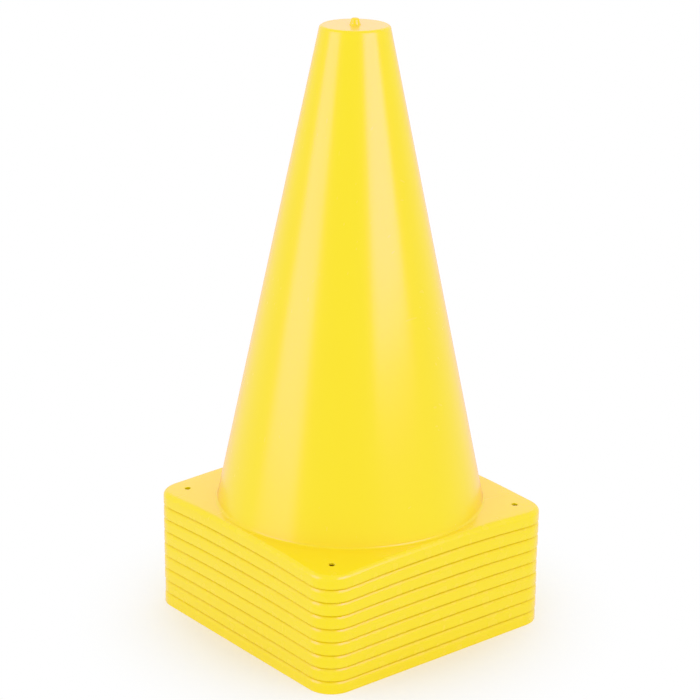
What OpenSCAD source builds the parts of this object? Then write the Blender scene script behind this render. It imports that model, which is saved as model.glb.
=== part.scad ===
// Stack of nine nested marker cones. Each cone is one thin plastic moulding:
// a tapered round wall with a closed flat end, on a square plate whose edge turns down into a lip.
// Millimetres. The stack stands on z = 0, its axis is the z axis, and the plates are square to x and y.

/* [Base plate] */
// Side of the square plate
plate_w = 136; // [135:1:180]
// Radius of the plate's corners, seen from above
corner_r = 12.5; // [8:0.5:20]
// Thickness of the plate and of its lip
plate_t = 1.2; // [0.8:0.1:1.5]
// Outer radius of the bend between plate and lip
bend_r = 2.4; // [1.3:0.05:2.5]

/* [Peg holes] */
// Diameter of the peg hole in each corner of the plate
hole_d = 3; // [2:0.1:6]
// Distance from the centre of a peg hole to the two nearest sides of the plate
hole_inset = 12; // [8:0.5:14]

/* [Tapered wall] */
// Height from the top of the plate to the flat end
cone_h = 228; // [150:1:300]
// Outer diameter of the wall where it meets the plate
foot_d = 128; // [100:1:128]
// Outer diameter of the flat end
end_d = 32; // [20:1:50]
// Thickness of the wall, measured square to its surface
wall_t = 1.1; // [0.8:0.05:1.6]
// Thickness of the flat end
end_t = 1.4; // [0.8:0.1:2]
// Outer radius of the rim of the flat end
rim_r = 1.6; // [0.8:0.1:3]
// Radius of the hollow fillet between wall and plate, on the outside
fillet_r = 1.2; // [0.8:0.1:1.8]

/* [Gate nub] */
// Height of the nub left by the moulding gate in the middle of the flat end
nub_h = 3.1; // [1:0.1:4.4]
// Diameter of the nub at its foot
nub_foot_d = 5; // [3:0.1:8]
// Diameter of the nub at its tip
nub_tip_d = 3.2; // [2:0.1:5]

/* [Nesting] */
// Least clearance between each cone and the one below it, square to the wall and over the nub
nest_gap = 0.28; // [0.2:0.02:0.5]
// Gap between each lip's lower edge and the top of the plate below it
lip_gap = 0.3; // [0.3:0.05:1.5]

/* [Hidden] */
$fn = 128;
// Angle between the wall and the axis
taper = atan((foot_d - end_d) / 2 / cone_h);
// Direction out of the wall, square to its surface, as radius and height
out = [cos(taper), sin(taper)];
// Height from each cone to the next, set by what would meet first on the way down: the sloping walls,
// or the nub and the flat end above it
stack_pitch = max((wall_t + nest_gap) / sin(taper), end_t + nub_h + nest_gap);
// Height of the lip, from the top of the plate to the lip's lower edge
lip_h = stack_pitch - lip_gap;
// How far a cut runs past the surface that it opens
overrun = 1;
yellow = [0.99, 0.87, 0.13];

// Point at height z above the plate's top, a distance d outside the wall's outer surface
function beside_wall(z, d = 0) = [foot_d / 2 - z * tan(taper) + d / cos(taper), z];

// Half section of everything within the cone's outer surface, with the fillet at its foot and the nub
module outer_section() {
    rim_c = beside_wall(cone_h - rim_r, -rim_r);
    fillet_c = beside_wall(fillet_r, fillet_r);
    corner = beside_wall(cone_h);
    difference() {
        polygon([
            [0, -plate_t],
            [fillet_c[0], -plate_t],
            fillet_c,
            fillet_c - fillet_r * out,
            corner,
            [nub_foot_d / 2, cone_h],
            [nub_tip_d / 2, cone_h + nub_h],
            [0, cone_h + nub_h]
        ]);
        translate(fillet_c) circle(fillet_r);
        difference() {
            polygon([rim_c, rim_c + rim_r * out, corner + overrun * out, corner + [0, overrun], [rim_c[0], cone_h]]);
            translate(rim_c) circle(rim_r);
        }
    }
}

// Half section of the hollow under the cone, which opens through the plate with a rounded edge
module hollow_section() {
    mouth_r = fillet_r + wall_t;
    mouth_c = beside_wall(mouth_r - plate_t, mouth_r - wall_t);
    difference() {
        polygon([
            [0, -plate_t - overrun],
            [mouth_c[0], -plate_t - overrun],
            mouth_c,
            mouth_c - mouth_r * out,
            beside_wall(cone_h - end_t, -wall_t),
            [0, cone_h - end_t]
        ]);
        translate(mouth_c) circle(mouth_r);
    }
}

// Section of the plate's margin and its lip, from the centre of a corner's arc out to the edge
module margin_section() {
    bend_c = [corner_r - bend_r, -bend_r];
    inner_r = bend_r - plate_t;
    difference() {
        union() {
            polygon([[0, 0], [bend_c[0], 0], bend_c, [corner_r, -bend_r], [corner_r, -lip_h], [0, -lip_h]]);
            translate(bend_c) circle(bend_r);
        }
        polygon([
            [-overrun, -plate_t],
            [bend_c[0], -plate_t],
            bend_c,
            [corner_r - plate_t, -bend_r],
            [corner_r - plate_t, -lip_h - overrun],
            [-overrun, -lip_h - overrun]
        ]);
        translate(bend_c) circle(inner_r);
    }
}

// Square plate with its lip, its top at z = 0: a slab, four straight margins and four corners
module base_plate() {
    arc_c = plate_w / 2 - corner_r;
    slab_w = plate_w - corner_r;
    translate([-slab_w / 2, -slab_w / 2, -plate_t]) cube([slab_w, slab_w, plate_t]);
    for (turn = [0:90:270]) rotate(turn) {
        translate([arc_c, arc_c, 0]) rotate_extrude(angle = 90) margin_section();
        translate([arc_c, arc_c, 0]) rotate([90, 0, 0]) linear_extrude(2 * arc_c) margin_section();
    }
}

// One hole in each corner of the plate
module peg_holes() {
    hole_at = plate_w / 2 - hole_inset;
    for (x = [-hole_at, hole_at], y = [-hole_at, hole_at])
        translate([x, y, -plate_t - overrun]) cylinder(h = plate_t + 2 * overrun, d = hole_d);
}

// One moulded cone, lifted to its level in the stack: level 0 stands on the ground
module nested_cone(level) {
    color(yellow) translate([0, 0, lip_h + level * stack_pitch]) difference() {
        union() {
            base_plate();
            rotate_extrude() outer_section();
        }
        rotate_extrude() hollow_section();
        peg_holes();
    }
}

module cone_1() { nested_cone(0); }
module cone_2() { nested_cone(1); }
module cone_3() { nested_cone(2); }
module cone_4() { nested_cone(3); }
module cone_5() { nested_cone(4); }
module cone_6() { nested_cone(5); }
module cone_7() { nested_cone(6); }
module cone_8() { nested_cone(7); }
module cone_9() { nested_cone(8); }

cone_1();
cone_2();
cone_3();
cone_4();
cone_5();
cone_6();
cone_7();
cone_8();
cone_9();
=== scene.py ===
"""A nested stack of nine sports marker cones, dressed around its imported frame.

Every cone is one thin moulding in glossy yellow plastic: a tapered round wall with a closed flat end, on a
square plate whose edge turns down into a lip. Lengths are in millimetres, unless a comment says metres, and
a finished mesh is in metres.
"""

import logging
import math
import random
from dataclasses import dataclass, field, replace
from enum import Enum
from typing import Any, Iterable

import bmesh
import bpy
from mathutils import Matrix, Vector


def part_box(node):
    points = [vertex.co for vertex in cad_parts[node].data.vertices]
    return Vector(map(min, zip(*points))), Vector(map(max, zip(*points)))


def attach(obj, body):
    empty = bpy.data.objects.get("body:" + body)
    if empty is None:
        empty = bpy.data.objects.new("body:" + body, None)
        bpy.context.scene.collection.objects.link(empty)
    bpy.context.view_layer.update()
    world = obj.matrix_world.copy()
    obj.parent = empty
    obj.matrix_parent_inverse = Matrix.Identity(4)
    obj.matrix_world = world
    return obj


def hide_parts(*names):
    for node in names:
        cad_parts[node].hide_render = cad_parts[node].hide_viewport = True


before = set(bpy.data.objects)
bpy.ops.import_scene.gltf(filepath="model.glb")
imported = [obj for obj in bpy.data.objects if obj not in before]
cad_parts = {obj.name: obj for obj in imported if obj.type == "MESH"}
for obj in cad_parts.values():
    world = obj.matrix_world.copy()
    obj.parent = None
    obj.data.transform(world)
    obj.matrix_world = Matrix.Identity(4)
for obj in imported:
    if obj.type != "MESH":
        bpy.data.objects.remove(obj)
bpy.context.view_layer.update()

Triple = tuple[float, float, float]

MM = 0.001  # metres in a millimetre
NEAR = 0.01  # how close two points in a mesh count as one, in millimetres
SHARP = math.pi / 3  # an edge that turns further than this is sharp
WHITE = (1.0, 1.0, 1.0)
log = logging.getLogger("marker_cones")


class Ray(Enum):
    """A kind of ray that a material or the world answers in its own way."""

    CAMERA = "Is Camera Ray"
    GLOSSY = "Is Glossy Ray"
    TRANSMISSION = "Is Transmission Ray"


class Cut(Enum):
    """What a bevel cuts back."""

    EDGES = "EDGES"
    POINTS = "VERTICES"


@dataclass(frozen=True)
class Pattern:
    """A noise pattern, and how far it varies the plastic."""

    waves: float  # waves a metre
    detail: float  # how many times finer waves are added to them
    roughness: float = 0.5  # strength of those finer waves
    stretch: Triple | None = None  # share of the waves along each axis
    turn: Triple = (0.0, 0.0, 0.0)  # how far those axes are turned, in radians
    start: float = 0.0  # value of the noise at which its marks start
    full: float = 1.0  # value at which they are full
    density: float = 0.0  # change in the share of dense pigment over the noise's range
    rough: float = 0.0  # change in the plastic's roughness
    height: float = 0.0  # change in the surface's height, in millimetres


def opaque(colour: Triple) -> tuple[float, ...]:
    """Returns a colour with full alpha."""
    return (*colour, 1.0)


class Sock:
    """A node's output or a plain number that takes part in arithmetic; each operation adds a Math node."""

    def __init__(self, shop: "NodeShop", link: Any) -> None:
        """Keeps the shop whose tree gets the nodes, and the output or number."""
        self.shop = shop
        self.link = link

    def _math(self, operation: str, first: Any, second: Any) -> "Sock":
        """Adds one Math node.

        Args:
            operation: The Math node's operation.
            first: First number or output.
            second: Second number or output.

        Returns:
            The node's result.
        """
        return self.shop.out("ShaderNodeMath", {"operation": operation}, {0: first, 1: second})

    def __add__(self, other: Any) -> "Sock":
        """Returns this plus other."""
        return self._math("ADD", self, other)

    def __sub__(self, other: Any) -> "Sock":
        """Returns this minus other."""
        return self._math("SUBTRACT", self, other)

    def __rsub__(self, other: Any) -> "Sock":
        """Returns other minus this."""
        return self._math("SUBTRACT", other, self)

    def __mul__(self, other: Any) -> "Sock":
        """Returns this times other."""
        return self._math("MULTIPLY", self, other)

    __radd__ = __add__
    __rmul__ = __mul__

    def larger(self, other: Any) -> "Sock":
        """Returns the larger of this and other."""
        return self._math("MAXIMUM", self, other)


class NodeShop:
    """Adds nodes to one node tree."""

    def __init__(self, tree: bpy.types.NodeTree) -> None:
        """Empties the tree that the nodes go into."""
        self.tree = tree
        tree.nodes.clear()

    def node(self, kind: str, settings: dict[str, Any] | None = None,
             sockets: dict[int | str, Any] | None = None) -> bpy.types.Node:
        """Adds one node.

        Args:
            kind: The node's type.
            settings: Properties that are set first, such as a Math node's operation.
            sockets: Values or outputs for the node's inputs, by number, name or identifier.

        Returns:
            The node.
        """
        made = self.tree.nodes.new(kind)
        for name, value in (settings or {}).items():
            setattr(made, name, value)
        for key, value in (sockets or {}).items():
            socket = self._input(made, key)
            if isinstance(value, Sock):
                value = value.link
            if isinstance(value, bpy.types.NodeSocket):
                self.tree.links.new(value, socket)
            else:
                socket.default_value = value
        return made

    def out(self, kind: str, settings: dict[str, Any] | None = None,
            sockets: dict[int | str, Any] | None = None, output: int | str = 0) -> Sock:
        """Adds one node and returns one of its outputs, by number, name or identifier."""
        made = self.node(kind, settings, sockets)
        if isinstance(output, int):
            return Sock(self, made.outputs[output])
        found = [o for o in made.outputs if output in (o.identifier, o.name)]
        return Sock(self, found[0])

    @staticmethod
    def _input(made: bpy.types.Node, key: int | str) -> bpy.types.NodeSocket:
        """Returns the input with that number, identifier or name."""
        if isinstance(key, int):
            return made.inputs[key]
        named = [i for i in made.inputs if key in (i.identifier, i.name)]
        return named[0]

    def mix_colour(self, factor: Any, first: Any, second: Any) -> Sock:
        """Mixes two colours by a factor from 0, all first, to 1, all second."""
        sockets = {"Factor_Float": factor, "A_Color": first, "B_Color": second}
        return self.out("ShaderNodeMix", {"data_type": "RGBA"}, sockets, "Result_Color")

    def noise(self, where: Any, pattern: Pattern) -> Sock:
        """Returns a pattern's noise, from 0 to 1, at a place."""
        if pattern.stretch:
            axes = {"Vector": where, "Scale": pattern.stretch, "Rotation": pattern.turn}
            where = self.out("ShaderNodeMapping", {}, axes)
        sockets = {
            "Vector": where,
            "Scale": pattern.waves,
            "Detail": pattern.detail,
            "Roughness": pattern.roughness,
        }
        return self.out("ShaderNodeTexNoise", {}, sockets)

    def marks(self, where: Any, pattern: Pattern) -> Sock:
        """Returns 1 at a place where a pattern's marks are full and 0 where it leaves none."""
        return self.between(self.noise(where, pattern), pattern.start, pattern.full)

    def between(self, value: Any, low: float, high: float) -> Sock:
        """Returns 0 where a value is at or under low, 1 at or over high, and a smooth step between."""
        settings = {"interpolation_type": "SMOOTHSTEP", "clamp": True}
        return self.out("ShaderNodeMapRange", settings, {"Value": value, "From Min": low, "From Max": high})

    def seen_by(self, rays: Iterable[Ray]) -> Sock:
        """Returns 1 for the given kinds of ray and 0 for the others."""
        path = self.node("ShaderNodeLightPath")
        answers = [Sock(self, path.outputs[ray.value]) for ray in rays]
        total = answers[0]
        for answer in answers[1:]:
            total = total.larger(answer)
        return total


@dataclass(frozen=True)
class MouldedPlastic:
    """Glossy moulded plastic: one pigment with faint flow marks and clouds, a grain, scuffs and a bloom."""

    name: str = "moulded yellow plastic"
    pigment: Triple = (0.99, 0.84, 0.002)
    dense_pigment: Triple = (0.985, 0.815, 0.001)
    dense_share: float = 0.35  # share of dense pigment, before the patterns vary it
    scuffed: Triple = (0.99, 0.87, 0.05)
    highlight_tint: Triple = (1.0, 0.02, 1.0)
    roughness: float = 0.25
    refraction: float = 1.46
    bloom: float = 0.32  # waxy film that pales the plastic where it is seen at a slant
    bloom_tint: Triple = (1.0, 0.0, 0.55)
    bloom_roughness: float = 0.4
    flow: Pattern = Pattern(waves=70, detail=1.5, stretch=(1, 1, 0.06), density=0.7, rough=0.04, height=0.03)
    cloud: Pattern = Pattern(waves=22, detail=2, density=0.9, height=0.12)
    grain: Pattern = Pattern(waves=1400, detail=2, roughness=0.6, rough=0.01, height=0.0005)
    worn: Pattern = Pattern(waves=130, detail=1.5, start=0.4, full=0.75)  # patches of wear along the edges
    scratched: Pattern = Pattern(waves=35, detail=1, start=0.5, full=0.62)  # areas that have scratches
    scratch: Pattern = Pattern(waves=900, detail=1, stretch=(1, 0.03, 0.25), start=0.735, full=0.76)
    scratch_turns: tuple[Triple, Triple] = ((0.3, 0.2, 0.5), (0.3, 0.2, -0.9))  # the two ways they run
    scratch_depth: float = 0.003  # in millimetres
    scratch_scuff: float = 0.6  # how scuffed a scratch is
    scuff_colour: float = 0.25  # share of the scuffed colour on a full scuff
    scuff_rough: float = 0.06

    def material(self) -> bpy.types.Material:
        """Builds the material.

        Returns:
            The new material.
        """
        made = bpy.data.materials.new(self.name)
        made.use_nodes = True
        shop = NodeShop(made.node_tree)
        batch = shop.out("ShaderNodeAttribute", {"attribute_name": "batch"}, output="Fac")
        edge = shop.out("ShaderNodeAttribute", {"attribute_name": "edge"}, output="Fac")
        shift = shop.out("ShaderNodeCombineXYZ", sockets={0: batch, 1: batch, 2: batch})
        drawn_at = shop.out("ShaderNodeTexCoord", output="Object")
        place = shop.out("ShaderNodeVectorMath", {"operation": "ADD"}, {0: drawn_at, 1: shift})
        flow, cloud, grain = (shop.noise(place, wave) - 0.5 for wave in (self.flow, self.cloud, self.grain))
        scratches = self._scratches(shop, place)
        scuff = (edge * shop.marks(place, self.worn)).larger(scratches * self.scratch_scuff)
        dense = cloud * self.cloud.density + flow * self.flow.density + self.dense_share
        colour = shop.mix_colour(dense, opaque(self.pigment), opaque(self.dense_pigment))
        colour = shop.mix_colour(scuff * self.scuff_colour, colour, opaque(self.scuffed))
        rough = flow * self.flow.rough + grain * self.grain.rough + scuff * self.scuff_rough + self.roughness
        relief = flow * self.flow.height + grain * self.grain.height
        relief = relief - scratches * self.scratch_depth + cloud * self.cloud.height
        bump = shop.out("ShaderNodeBump", sockets={"Strength": 1.0, "Distance": MM, "Height": relief})
        shader = shop.out("ShaderNodeBsdfPrincipled", sockets={
            "Base Color": colour,
            "Roughness": rough,
            "IOR": self.refraction,
            "Specular Tint": opaque(self.highlight_tint),
            "Sheen Weight": self.bloom,
            "Sheen Roughness": self.bloom_roughness,
            "Sheen Tint": opaque(self.bloom_tint),
            "Normal": bump,
        })
        shop.node("ShaderNodeOutputMaterial", sockets={"Surface": shader})
        return made

    def _scratches(self, shop: NodeShop, place: Sock) -> Sock:
        """Returns 1 on a few fine scratches that run in two directions, and 0 beside them."""
        lines = [shop.marks(place, replace(self.scratch, turn=turn)) for turn in self.scratch_turns]
        return lines[0].larger(lines[1]) * shop.marks(place, self.scratched)


@dataclass(frozen=True)
class Warp:
    """How one plate cooled out of true: its thin corners sag and draw in a little."""

    sag: float  # how far each corner hangs below its drawn place
    draw: float  # most that a corner is drawn in
    draw_at: float  # direction of that corner, in radians

    @classmethod
    def drawn(cls, chance: random.Random, sag: float, most_draw: float) -> "Warp":
        """Returns a warp with that sag, whose draw is picked by seeded chance."""
        return cls(sag, chance.uniform(0.0, most_draw), chance.uniform(-math.pi, math.pi))

    def moved(self, point: Vector, reach: float) -> Vector:
        """Moves a point of the plate.

        Args:
            point: The point as drawn.
            reach: From 0 at the wall's foot to 1 at the tip of a corner.

        Returns:
            The point's place after cooling.
        """
        angle = math.atan2(point.y, point.x)
        draw = self.draw * (1 + math.cos(angle - self.draw_at)) / 2
        inward = point.xy.normalized() * draw * reach
        return Vector((point.x - inward.x, point.y - inward.y, point.z - self.sag * reach))


@dataclass
class MarkerCone:
    """One moulded cone, drawn with the top of its plate at z = 0 and then set down in the stack."""

    node: str
    lift: float  # height of the plate's top over the ground
    plate_w: float
    cone_h: float  # from the plate's top to the flat end
    lip_h: float
    warp: Warp
    batch: float  # shifts the plastic's patterns, so that no two cones match
    corner_r: float = 12.5
    plate_t: float = 1.2
    bend_r: float = 2.4
    hole_d: float = 3.0
    hole_inset: float = 12.0
    foot_d: float = 128.0
    end_d: float = 32.0
    wall_t: float = 1.1
    end_t: float = 1.4
    rim_r: float = 1.6
    fillet_r: float = 1.2
    nub_h: float = 3.1
    nub_foot_d: float = 5.0
    nub_tip_d: float = 3.2
    nub_fillet_r: float = 0.6
    nub_edge_r: float = 0.5
    lip_edge_r: float = 0.2
    hole_edge_r: float = 0.15
    foot_margin: float = 0.24  # width of the flat ring round the fillet
    worn_at: float = 0.8  # depth on the plate's bend at which it is most worn
    quarter_steps: int = 40  # edges round a quarter of the wall and of the plate
    corner_steps: int = 12  # how many of them go round the plate's corner
    round_steps: int = 6  # edges across the rim, the fillet and the bend
    hole_steps: int = 12  # edges round a quarter of a peg hole
    edge_steps: int = 2  # edges across the edge of the lip and of a peg hole
    nub_steps: int = 4
    wall_rows: int = 24
    flat_lead: int = 80  # how far large faces lead the smooth shading, up to 100

    def build(self) -> bpy.types.Object:
        """Builds the cone's mesh.

        Returns:
            The object, at the origin, with its place in its mesh.
        """
        bm = bmesh.new()
        foot_ring = self._spin_wall(bm)
        self._lay_plate(bm, foot_ring)
        self._open_peg_hole(bm)
        self._mirror_quarter(bm)
        self._turn_down_lip(bm)
        self._give_thickness(bm)
        self._round_edges(bm)
        self._raise_nub(bm)
        self._mark_edges(bm)
        self._cool(bm)
        bmesh.ops.translate(bm, verts=bm.verts, vec=(0, 0, self.lift))
        bmesh.ops.scale(bm, verts=bm.verts, vec=(MM, MM, MM))
        return self._finished(bm)

    def _spin_wall(self, bm: bmesh.types.BMesh) -> list[bmesh.types.BMEdge]:
        """Spins a quarter of the flat end, the wall and its foot.

        Args:
            bm: Mesh that gets the faces.

        Returns:
            The edges of the ring where the foot runs out on to the plate.
        """
        slope = math.atan((self.foot_d - self.end_d) / 2 / self.cone_h)
        run_out = self.foot_d / 2 + self.fillet_r * math.tan(math.pi / 4 - slope / 2) + self.foot_margin
        outline = [(0, self.cone_h), (self.nub_foot_d / 2, self.cone_h), (self.end_d / 2, self.cone_h),
                   (self.foot_d / 2, 0), (run_out, 0)]
        points = [bm.verts.new((radius, 0, z)) for radius, z in outline]
        for pair in zip(points, points[1:]):
            bm.edges.new(pair)
        for point, radius in ((points[2], self.rim_r), (points[3], self.fillet_r)):
            round_corner(bm, point, radius, self.round_steps)
        wall = max(bm.edges, key=lambda edge: edge.calc_length())
        bmesh.ops.subdivide_edges(bm, edges=[wall], cuts=self.wall_rows - 1)
        bmesh.ops.spin(bm, geom=bm.verts[:] + bm.edges[:], cent=(0, 0, 0), axis=(0, 0, 1), dvec=(0, 0, 0),
                       angle=math.pi / 2, steps=self.quarter_steps)
        bmesh.ops.remove_doubles(bm, verts=bm.verts, dist=NEAR)
        return [edge for edge in bm.edges if edge.is_boundary
                and all(abs(point.co.xy.length - run_out) < NEAR for point in edge.verts)]

    def _lay_plate(self, bm: bmesh.types.BMesh, foot_ring: list[bmesh.types.BMEdge]) -> None:
        """Lays a quarter of the flat plate between the foot and the square outline with its round corner."""
        half = self.plate_w / 2
        points = [bm.verts.new(place) for place in ((half, 0, 0), (half, half, 0), (0, half, 0))]
        for pair in zip(points, points[1:]):
            bm.edges.new(pair)
        round_corner(bm, points[1], self.corner_r, self.corner_steps)
        sides = [edge for edge in bm.edges if edge.is_wire and edge.calc_length() > self.corner_r]
        straight_steps = (self.quarter_steps - self.corner_steps) // 2
        bmesh.ops.subdivide_edges(bm, edges=sides, cuts=straight_steps - 1)
        outline = [edge for edge in bm.edges if edge.is_wire]
        bmesh.ops.bridge_loops(bm, edges=foot_ring + outline)

    def _open_peg_hole(self, bm: bmesh.types.BMesh) -> None:
        """Opens the peg hole in the corner of the plate."""
        across = [edge for edge in bm.edges if edge.calc_length() > self.corner_r
                  and all(abs(point.co.z) < NEAR for point in edge.verts)]
        bmesh.ops.subdivide_edges(bm, edges=across, cuts=1)
        at = self.plate_w / 2 - self.hole_inset
        middle = Vector((at, at, 0))
        point = min(bm.verts, key=lambda vert: (vert.co - middle).length)
        point.co = middle
        cut = bevel(bm, [point], self.hole_d / 2, self.hole_steps, Cut.POINTS)
        bmesh.ops.delete(bm, geom=cut["faces"], context="FACES")
        for rim_point in (vert for vert in cut["verts"] if vert.is_valid):
            rim_point.co = middle + (rim_point.co - middle).normalized() * self.hole_d / 2

    def _mirror_quarter(self, bm: bmesh.types.BMesh) -> None:
        """Makes the whole top skin from its quarter."""
        for axis in ("X", "Y"):
            bmesh.ops.mirror(bm, geom=bm.verts[:] + bm.edges[:] + bm.faces[:], matrix=Matrix.Identity(4),
                             merge_dist=NEAR, axis=axis)
        bmesh.ops.remove_doubles(bm, verts=bm.verts, dist=NEAR)

    def _turn_down_lip(self, bm: bmesh.types.BMesh) -> None:
        """Turns the plate's edge down into its lip, round a bend."""
        outside_holes = (self.plate_w - self.corner_r) / 2
        outline = [edge for edge in bm.edges if edge.is_boundary
                   and all(max(map(abs, point.co.xy)) > outside_holes for point in edge.verts)]
        lip = bmesh.ops.extrude_edge_only(bm, edges=outline)
        lower = [part for part in lip["geom"] if isinstance(part, bmesh.types.BMVert)]
        bmesh.ops.translate(bm, verts=lower, vec=(0, 0, -self.lip_h))
        bmesh.ops.recalc_face_normals(bm, faces=bm.faces)
        bevel(bm, outline, self.bend_r, self.round_steps)

    def _give_thickness(self, bm: bmesh.types.BMesh) -> None:
        """Gives the skin its thickness, inwards, with a thicker plate and flat end."""
        skin = set(bm.verts)
        bmesh.ops.solidify(bm, geom=bm.faces[:], thickness=self.wall_t)
        inside = [point for point in bm.verts if point not in skin]
        under_plate = [point for point in inside if abs(point.co.z + self.wall_t) < NEAR]
        bmesh.ops.translate(bm, verts=under_plate, vec=(0, 0, self.wall_t - self.plate_t))
        for point in inside:
            point.co.z = min(point.co.z, self.cone_h - self.end_t)

    def _round_edges(self, bm: bmesh.types.BMesh) -> None:
        """Rounds the lower edges of the lip and the edges of the peg holes."""
        bm.normal_update()
        sharp = [edge for edge in bm.edges if edge.calc_face_angle(0) > SHARP]
        lip = [edge for edge in sharp if all(abs(point.co.z + self.lip_h) < NEAR for point in edge.verts)]
        holes = [edge for edge in sharp if all(point.co.z > -self.lip_h / 2 for point in edge.verts)
                 and min(map(abs, edge.verts[0].co.xy)) > self.plate_w / 2 - self.hole_inset - self.hole_d]
        for edges, radius in ((lip, self.lip_edge_r), (holes, self.hole_edge_r)):
            bevel(bm, edges, radius, self.edge_steps)

    def _raise_nub(self, bm: bmesh.types.BMesh) -> None:
        """Raises the gate's nub from the middle of the flat end."""
        level = self.cone_h - NEAR
        disc = [face for face in bm.faces if face.normal.z > 0 and face.calc_center_median().z > level
                and face.calc_center_median().xy.length < self.nub_foot_d / 2]
        foot = boundary(disc)
        raised = bmesh.ops.extrude_face_region(bm, geom=disc)["geom"]
        bmesh.ops.delete(bm, geom=[face for face in disc if face.is_valid], context="FACES")
        points = [part for part in raised if isinstance(part, bmesh.types.BMVert)]
        tip = boundary([part for part in raised if isinstance(part, bmesh.types.BMFace)])
        bmesh.ops.translate(bm, verts=points, vec=(0, 0, self.nub_h))
        narrow = self.nub_tip_d / self.nub_foot_d
        bmesh.ops.scale(bm, verts=points, vec=(narrow, narrow, 1))
        for edges, radius in ((tip, self.nub_edge_r), (foot, self.nub_fillet_r)):
            bevel(bm, edges, radius, self.nub_steps)

    def _mark_edges(self, bm: bmesh.types.BMesh) -> None:
        """Writes how worn each point is, from 0 on the faces to 1 on the edges, and the cone's batch."""
        edge = bm.verts.layers.float.new("edge")
        batch = bm.verts.layers.float.new("batch")
        for point in bm.verts:
            from_bend = abs(point.co.z + self.worn_at)
            from_lip_edge = abs(point.co.z + self.lip_h)
            at_lip = max(map(abs, point.co.xy)) > self.plate_w / 2 - self.corner_r / 2
            near_lip = 1 - min(from_bend, from_lip_edge) / self.bend_r if at_lip else 0
            near_rim = 1 - (Vector((point.co.xy.length, point.co.z)) - self._rim_point()).length / self.rim_r
            point[edge] = max(0.0, near_lip, near_rim)
            point[batch] = self.batch

    def _rim_point(self) -> Vector:
        """Returns where the wall would meet the flat end, as radius and height."""
        return Vector((self.end_d / 2, self.cone_h))

    def _cool(self, bm: bmesh.types.BMesh) -> None:
        """Lets the plate's margin cool a little out of true."""
        foot = self.foot_d / 2 + self.fillet_r
        tip = self.plate_w / math.sqrt(2) - self.corner_r * (math.sqrt(2) - 1)
        for point in bm.verts:
            share = min(1.0, max(0.0, (point.co.xy.length - foot) / (tip - foot)))
            smooth_share = share * share * (3 - 2 * share)
            if share > 0:
                point.co = self.warp.moved(point.co, smooth_share)

    def _finished(self, bm: bmesh.types.BMesh) -> bpy.types.Object:
        """Makes the object, with smooth shading that the flat faces lead."""
        bmesh.ops.recalc_face_normals(bm, faces=bm.faces)
        mesh = bpy.data.meshes.new(f"{self.node}_moulding")
        bm.to_mesh(mesh)
        bm.free()
        mesh.shade_smooth()
        made = add_object(mesh.name, mesh)
        weighted = made.modifiers.new("flat faces lead", "WEIGHTED_NORMAL")
        weighted.weight = self.flat_lead
        return made

    def dress(self, made: bpy.types.Object, plastic: bpy.types.Material) -> None:
        """Gives the cone its plastic, hides the imported part of its node and ties the cone to that node's
        body.
        """
        made.data.materials.append(plastic)
        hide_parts(self.node)
        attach(made, self.node)


def add_object(name: str, data: Any) -> bpy.types.Object:
    """Adds an object to the scene, at the origin."""
    made = bpy.data.objects.new(name, data)
    bpy.context.scene.collection.objects.link(made)
    return made


def bevel(bm: bmesh.types.BMesh, parts: list[Any], offset: float, steps: int,
          cut: Cut = Cut.EDGES) -> dict[str, list[Any]]:
    """Bevels edges or points of a mesh, with a round profile.

    Args:
        bm: Mesh that holds them.
        parts: The edges or points.
        offset: How far they are cut back.
        steps: Number of edges across the bevel.
        cut: Whether the parts are edges or points.

    Returns:
        The faces, edges and points that the bevel made.
    """
    return bmesh.ops.bevel(bm, geom=parts, offset=offset, offset_type="OFFSET", profile=0.5, segments=steps,
                           affect=cut.value, material=-1)


def round_corner(bm: bmesh.types.BMesh, point: bmesh.types.BMVert, radius: float, steps: int) -> None:
    """Rounds the corner where two loose edges meet.

    Args:
        bm: Mesh that holds the edges.
        point: The corner.
        radius: Radius of the arc.
        steps: Number of edges in the arc.
    """
    first, second = (edge.other_vert(point).co - point.co for edge in point.link_edges)
    cut_back = radius / math.tan(first.angle(second) / 2)
    bevel(bm, [point], cut_back, steps, Cut.POINTS)


def boundary(faces: list[bmesh.types.BMFace]) -> list[bmesh.types.BMEdge]:
    """Returns the edges that run round a patch of faces, in the order in which its faces list them."""
    patch = set(faces)
    edges = dict.fromkeys(edge for face in faces for edge in face.edges)
    return [edge for edge in edges if sum(other in patch for other in edge.link_faces) == 1]


@dataclass
class ConeStack:
    """The nine cones, each set down over the one below at the height that the frame gives."""

    plastic: MouldedPlastic = field(default_factory=MouldedPlastic)
    seed: int = 12
    lip_gap: float = 0.3  # from each lip's lower edge to the plate below
    least_gap: float = 0.1  # what a sagging corner leaves of it
    full_sag: float = 1.6
    most_draw: float = 0.3  # furthest that a corner is drawn in
    batch_step: float = 1.7  # how far the plastic's patterns shift from each cone to the next, in metres

    def build(self) -> None:
        """Builds and dresses each cone: the lowest lies flat, and each sags a little more than the last."""
        material = self.plastic.material()
        chance = random.Random(self.seed)
        nodes = sorted(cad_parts)
        pitch = (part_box(nodes[1])[0].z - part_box(nodes[0])[0].z) / MM
        lip_h = pitch - self.lip_gap
        for number, node in enumerate(nodes):
            low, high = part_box(node)
            sag = min(self.full_sag, number * (self.lip_gap - self.least_gap))
            cone = MarkerCone(node=node, lift=low.z / MM + lip_h, plate_w=(high.x - low.x) / MM,
                              cone_h=(high.z - low.z) / MM - lip_h - MarkerCone.nub_h, lip_h=lip_h,
                              warp=Warp.drawn(chance, sag, self.most_draw), batch=number * self.batch_step)
            made = cone.build()
            cone.dress(made, material)
            log.info("%s: %d faces, plate at %.1f mm", made.name, len(made.data.polygons), cone.lift)


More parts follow.
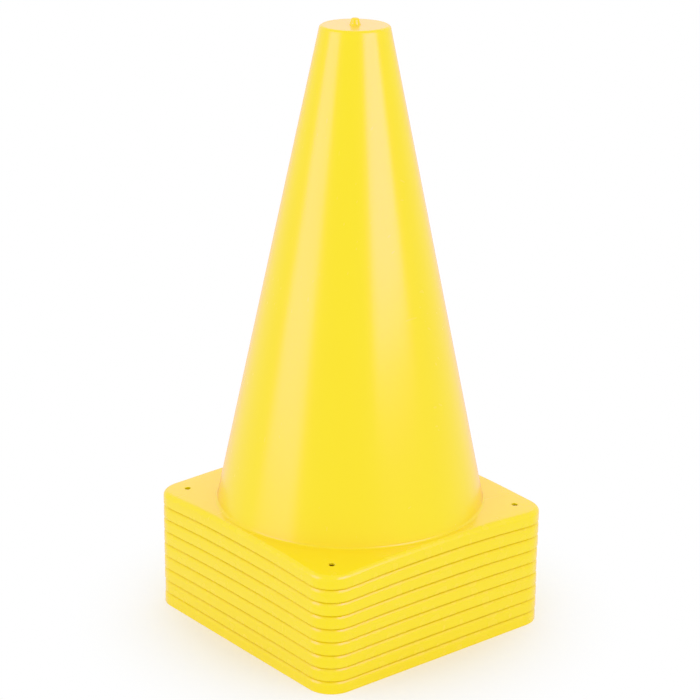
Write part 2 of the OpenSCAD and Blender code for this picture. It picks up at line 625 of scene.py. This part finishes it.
@dataclass(frozen=True)
class PhotoCamera:
    """The camera that took the reference picture, as fitted to the stack's outline."""

    azimuth: float = 50.68  # degrees round the stack from the -y side
    away: float = 982.1  # from the stack's axis
    height: float = 472.6  # over the ground
    pan: float = 0.044  # degrees that it looks to the left of the axis
    dip: float = 19.04  # degrees that it looks down
    roll: float = 0.598  # degrees that it leans round its line of sight
    lens: float = 113.42
    sensor: float = 36.0
    nearest: float = 50.0  # what is nearer than this isn't drawn

    def build(self) -> None:
        """Adds the camera and makes it the scene's."""
        data = bpy.data.cameras.new("photo camera")
        data.lens = self.lens
        data.sensor_width = self.sensor
        data.clip_start = self.nearest * MM
        made = add_object("photo camera", data)
        made.matrix_world = self._placed()
        bpy.context.scene.camera = made
        log.info("camera %.0f mm from the axis", self.away)

    def _placed(self) -> Matrix:
        """Returns the camera's place and direction in metres."""
        round_stack = Matrix.Rotation(math.radians(self.azimuth), 4, "Z")
        stand = Matrix.Translation(Vector((0, -self.away, self.height)) * MM)
        turn = Matrix.Rotation(math.radians(self.pan), 4, "Z")
        nod = Matrix.Rotation(math.radians(90 - self.dip), 4, "X")
        lean = Matrix.Rotation(math.radians(self.roll), 4, "Z")
        return round_stack @ stand @ turn @ nod @ lean


@dataclass(frozen=True)
class SoftBox:
    """A soft light panel beside or behind the stack, which the plastic mirrors as a pale band."""

    name: str
    side: float  # degrees round the stack from the camera, to the right
    spread: float  # degrees that the panel covers round the stack
    low: float  # lowest and highest elevation that it covers, in degrees
    high: float
    glow: float  # brightness of its face, where the white surroundings have 1
    colour: Triple = (1.0, 0.35, 1.0)
    away: float = 1500.0  # from the stack's axis

    def build(self, camera: PhotoCamera) -> None:
        """Adds the panel, facing the stack.

        Args:
            camera: The camera that the side is counted from.
        """
        data = bpy.data.lights.new(self.name, "AREA")
        data.shape = "RECTANGLE"
        low, high = (math.tan(math.radians(angle)) * self.away for angle in (self.low, self.high))
        data.size = 2 * math.tan(math.radians(self.spread / 2)) * self.away * MM
        data.size_y = (high - low) * MM
        data.energy = self.glow * math.pi * data.size * data.size_y
        data.color = self.colour
        made = add_object(self.name, data)
        round_stack = Matrix.Rotation(math.radians(camera.azimuth + self.side), 4, "Z")
        stand = Matrix.Translation(Vector((0, -self.away, (low + high) / 2)) * MM)
        made.matrix_world = round_stack @ stand @ Matrix.Rotation(math.pi / 2, 4, "X")
        made.visible_camera = False
        made.visible_diffuse = False
        log.info("%s at %.0f degrees", self.name, self.side)


@dataclass
class Studio:
    """The pale floor, the white surroundings and the soft panels."""

    camera: PhotoCamera
    ambient: float = 1.0
    bounces: int = 16  # enough for light to find its way out from between the lips
    floor_r: float = 2500.0
    floor_steps: int = 128  # edges round the floor
    floor_tone: float = 0.97
    fade_from: float = 0.05  # distances from the axis, in metres, over which the floor turns white
    fade_to: float = 0.14
    panels: tuple[SoftBox, ...] = (
        SoftBox("left panel", side=-66, spread=37, low=-1, high=42, glow=4.5),
        SoftBox("right panel", side=48, spread=44, low=18, high=52, glow=6.4, away=560),
        SoftBox("back panel", side=180, spread=40, low=10, high=35, glow=0.34),
    )

    def build(self) -> None:
        """Adds the world, the floor and the lights, and sets how colours are shown."""
        self._white_world()
        self._floor()
        for panel in self.panels:
            panel.build(self.camera)
        bpy.context.scene.view_settings.view_transform = "Standard"
        bpy.context.scene.cycles.diffuse_bounces = self.bounces

    def _white_world(self) -> None:
        """Makes the surroundings white to the eye and to gloss, and a plain pale level of light elsewhere."""
        world = bpy.data.worlds.new("white surroundings")
        bpy.context.scene.world = world
        world.use_nodes = True
        shop = NodeShop(world.node_tree)
        seen = shop.seen_by(Ray)
        level = seen + (1 - seen) * self.ambient
        light = shop.out("ShaderNodeBackground", sockets={"Color": opaque(WHITE), "Strength": level})
        shop.node("ShaderNodeOutputWorld", sockets={"Surface": light})

    def _floor(self) -> None:
        """Lays the floor, just clear of the lowest lip."""
        bm = bmesh.new()
        bmesh.ops.create_circle(bm, cap_ends=True, radius=self.floor_r * MM, segments=self.floor_steps)
        bmesh.ops.translate(bm, verts=bm.verts, vec=(0, 0, -NEAR * MM))
        mesh = bpy.data.meshes.new("floor")
        bm.to_mesh(mesh)
        bm.free()
        floor = add_object("floor", mesh)
        mesh.materials.append(self._floor_material())

    def _floor_material(self) -> bpy.types.Material:
        """Returns a pale floor that turns plain white away from the stack."""
        made = bpy.data.materials.new("pale floor")
        made.use_nodes = True
        shop = NodeShop(made.node_tree)
        place = shop.out("ShaderNodeTexCoord", output="Object")
        away = shop.out("ShaderNodeVectorMath", {"operation": "LENGTH"}, {0: place}, "Value")
        fade = shop.between(away, self.fade_from, self.fade_to) * shop.seen_by(Ray)
        tone = opaque((self.floor_tone,) * 3)
        paint = shop.out("ShaderNodeBsdfDiffuse", sockets={"Color": tone})
        white = shop.out("ShaderNodeEmission", sockets={"Color": opaque(WHITE), "Strength": 1.0})
        mixed = shop.out("ShaderNodeMixShader", sockets={0: fade, 1: paint, 2: white})
        shop.node("ShaderNodeOutputMaterial", sockets={"Surface": mixed})
        return made


def main() -> None:
    """Builds the camera, the studio and the stack."""
    logging.basicConfig(level=logging.INFO, format="%(message)s")
    camera = PhotoCamera()
    camera.build()
    Studio(camera).build()
    ConeStack().build()


if __name__ == "__main__":
    main()
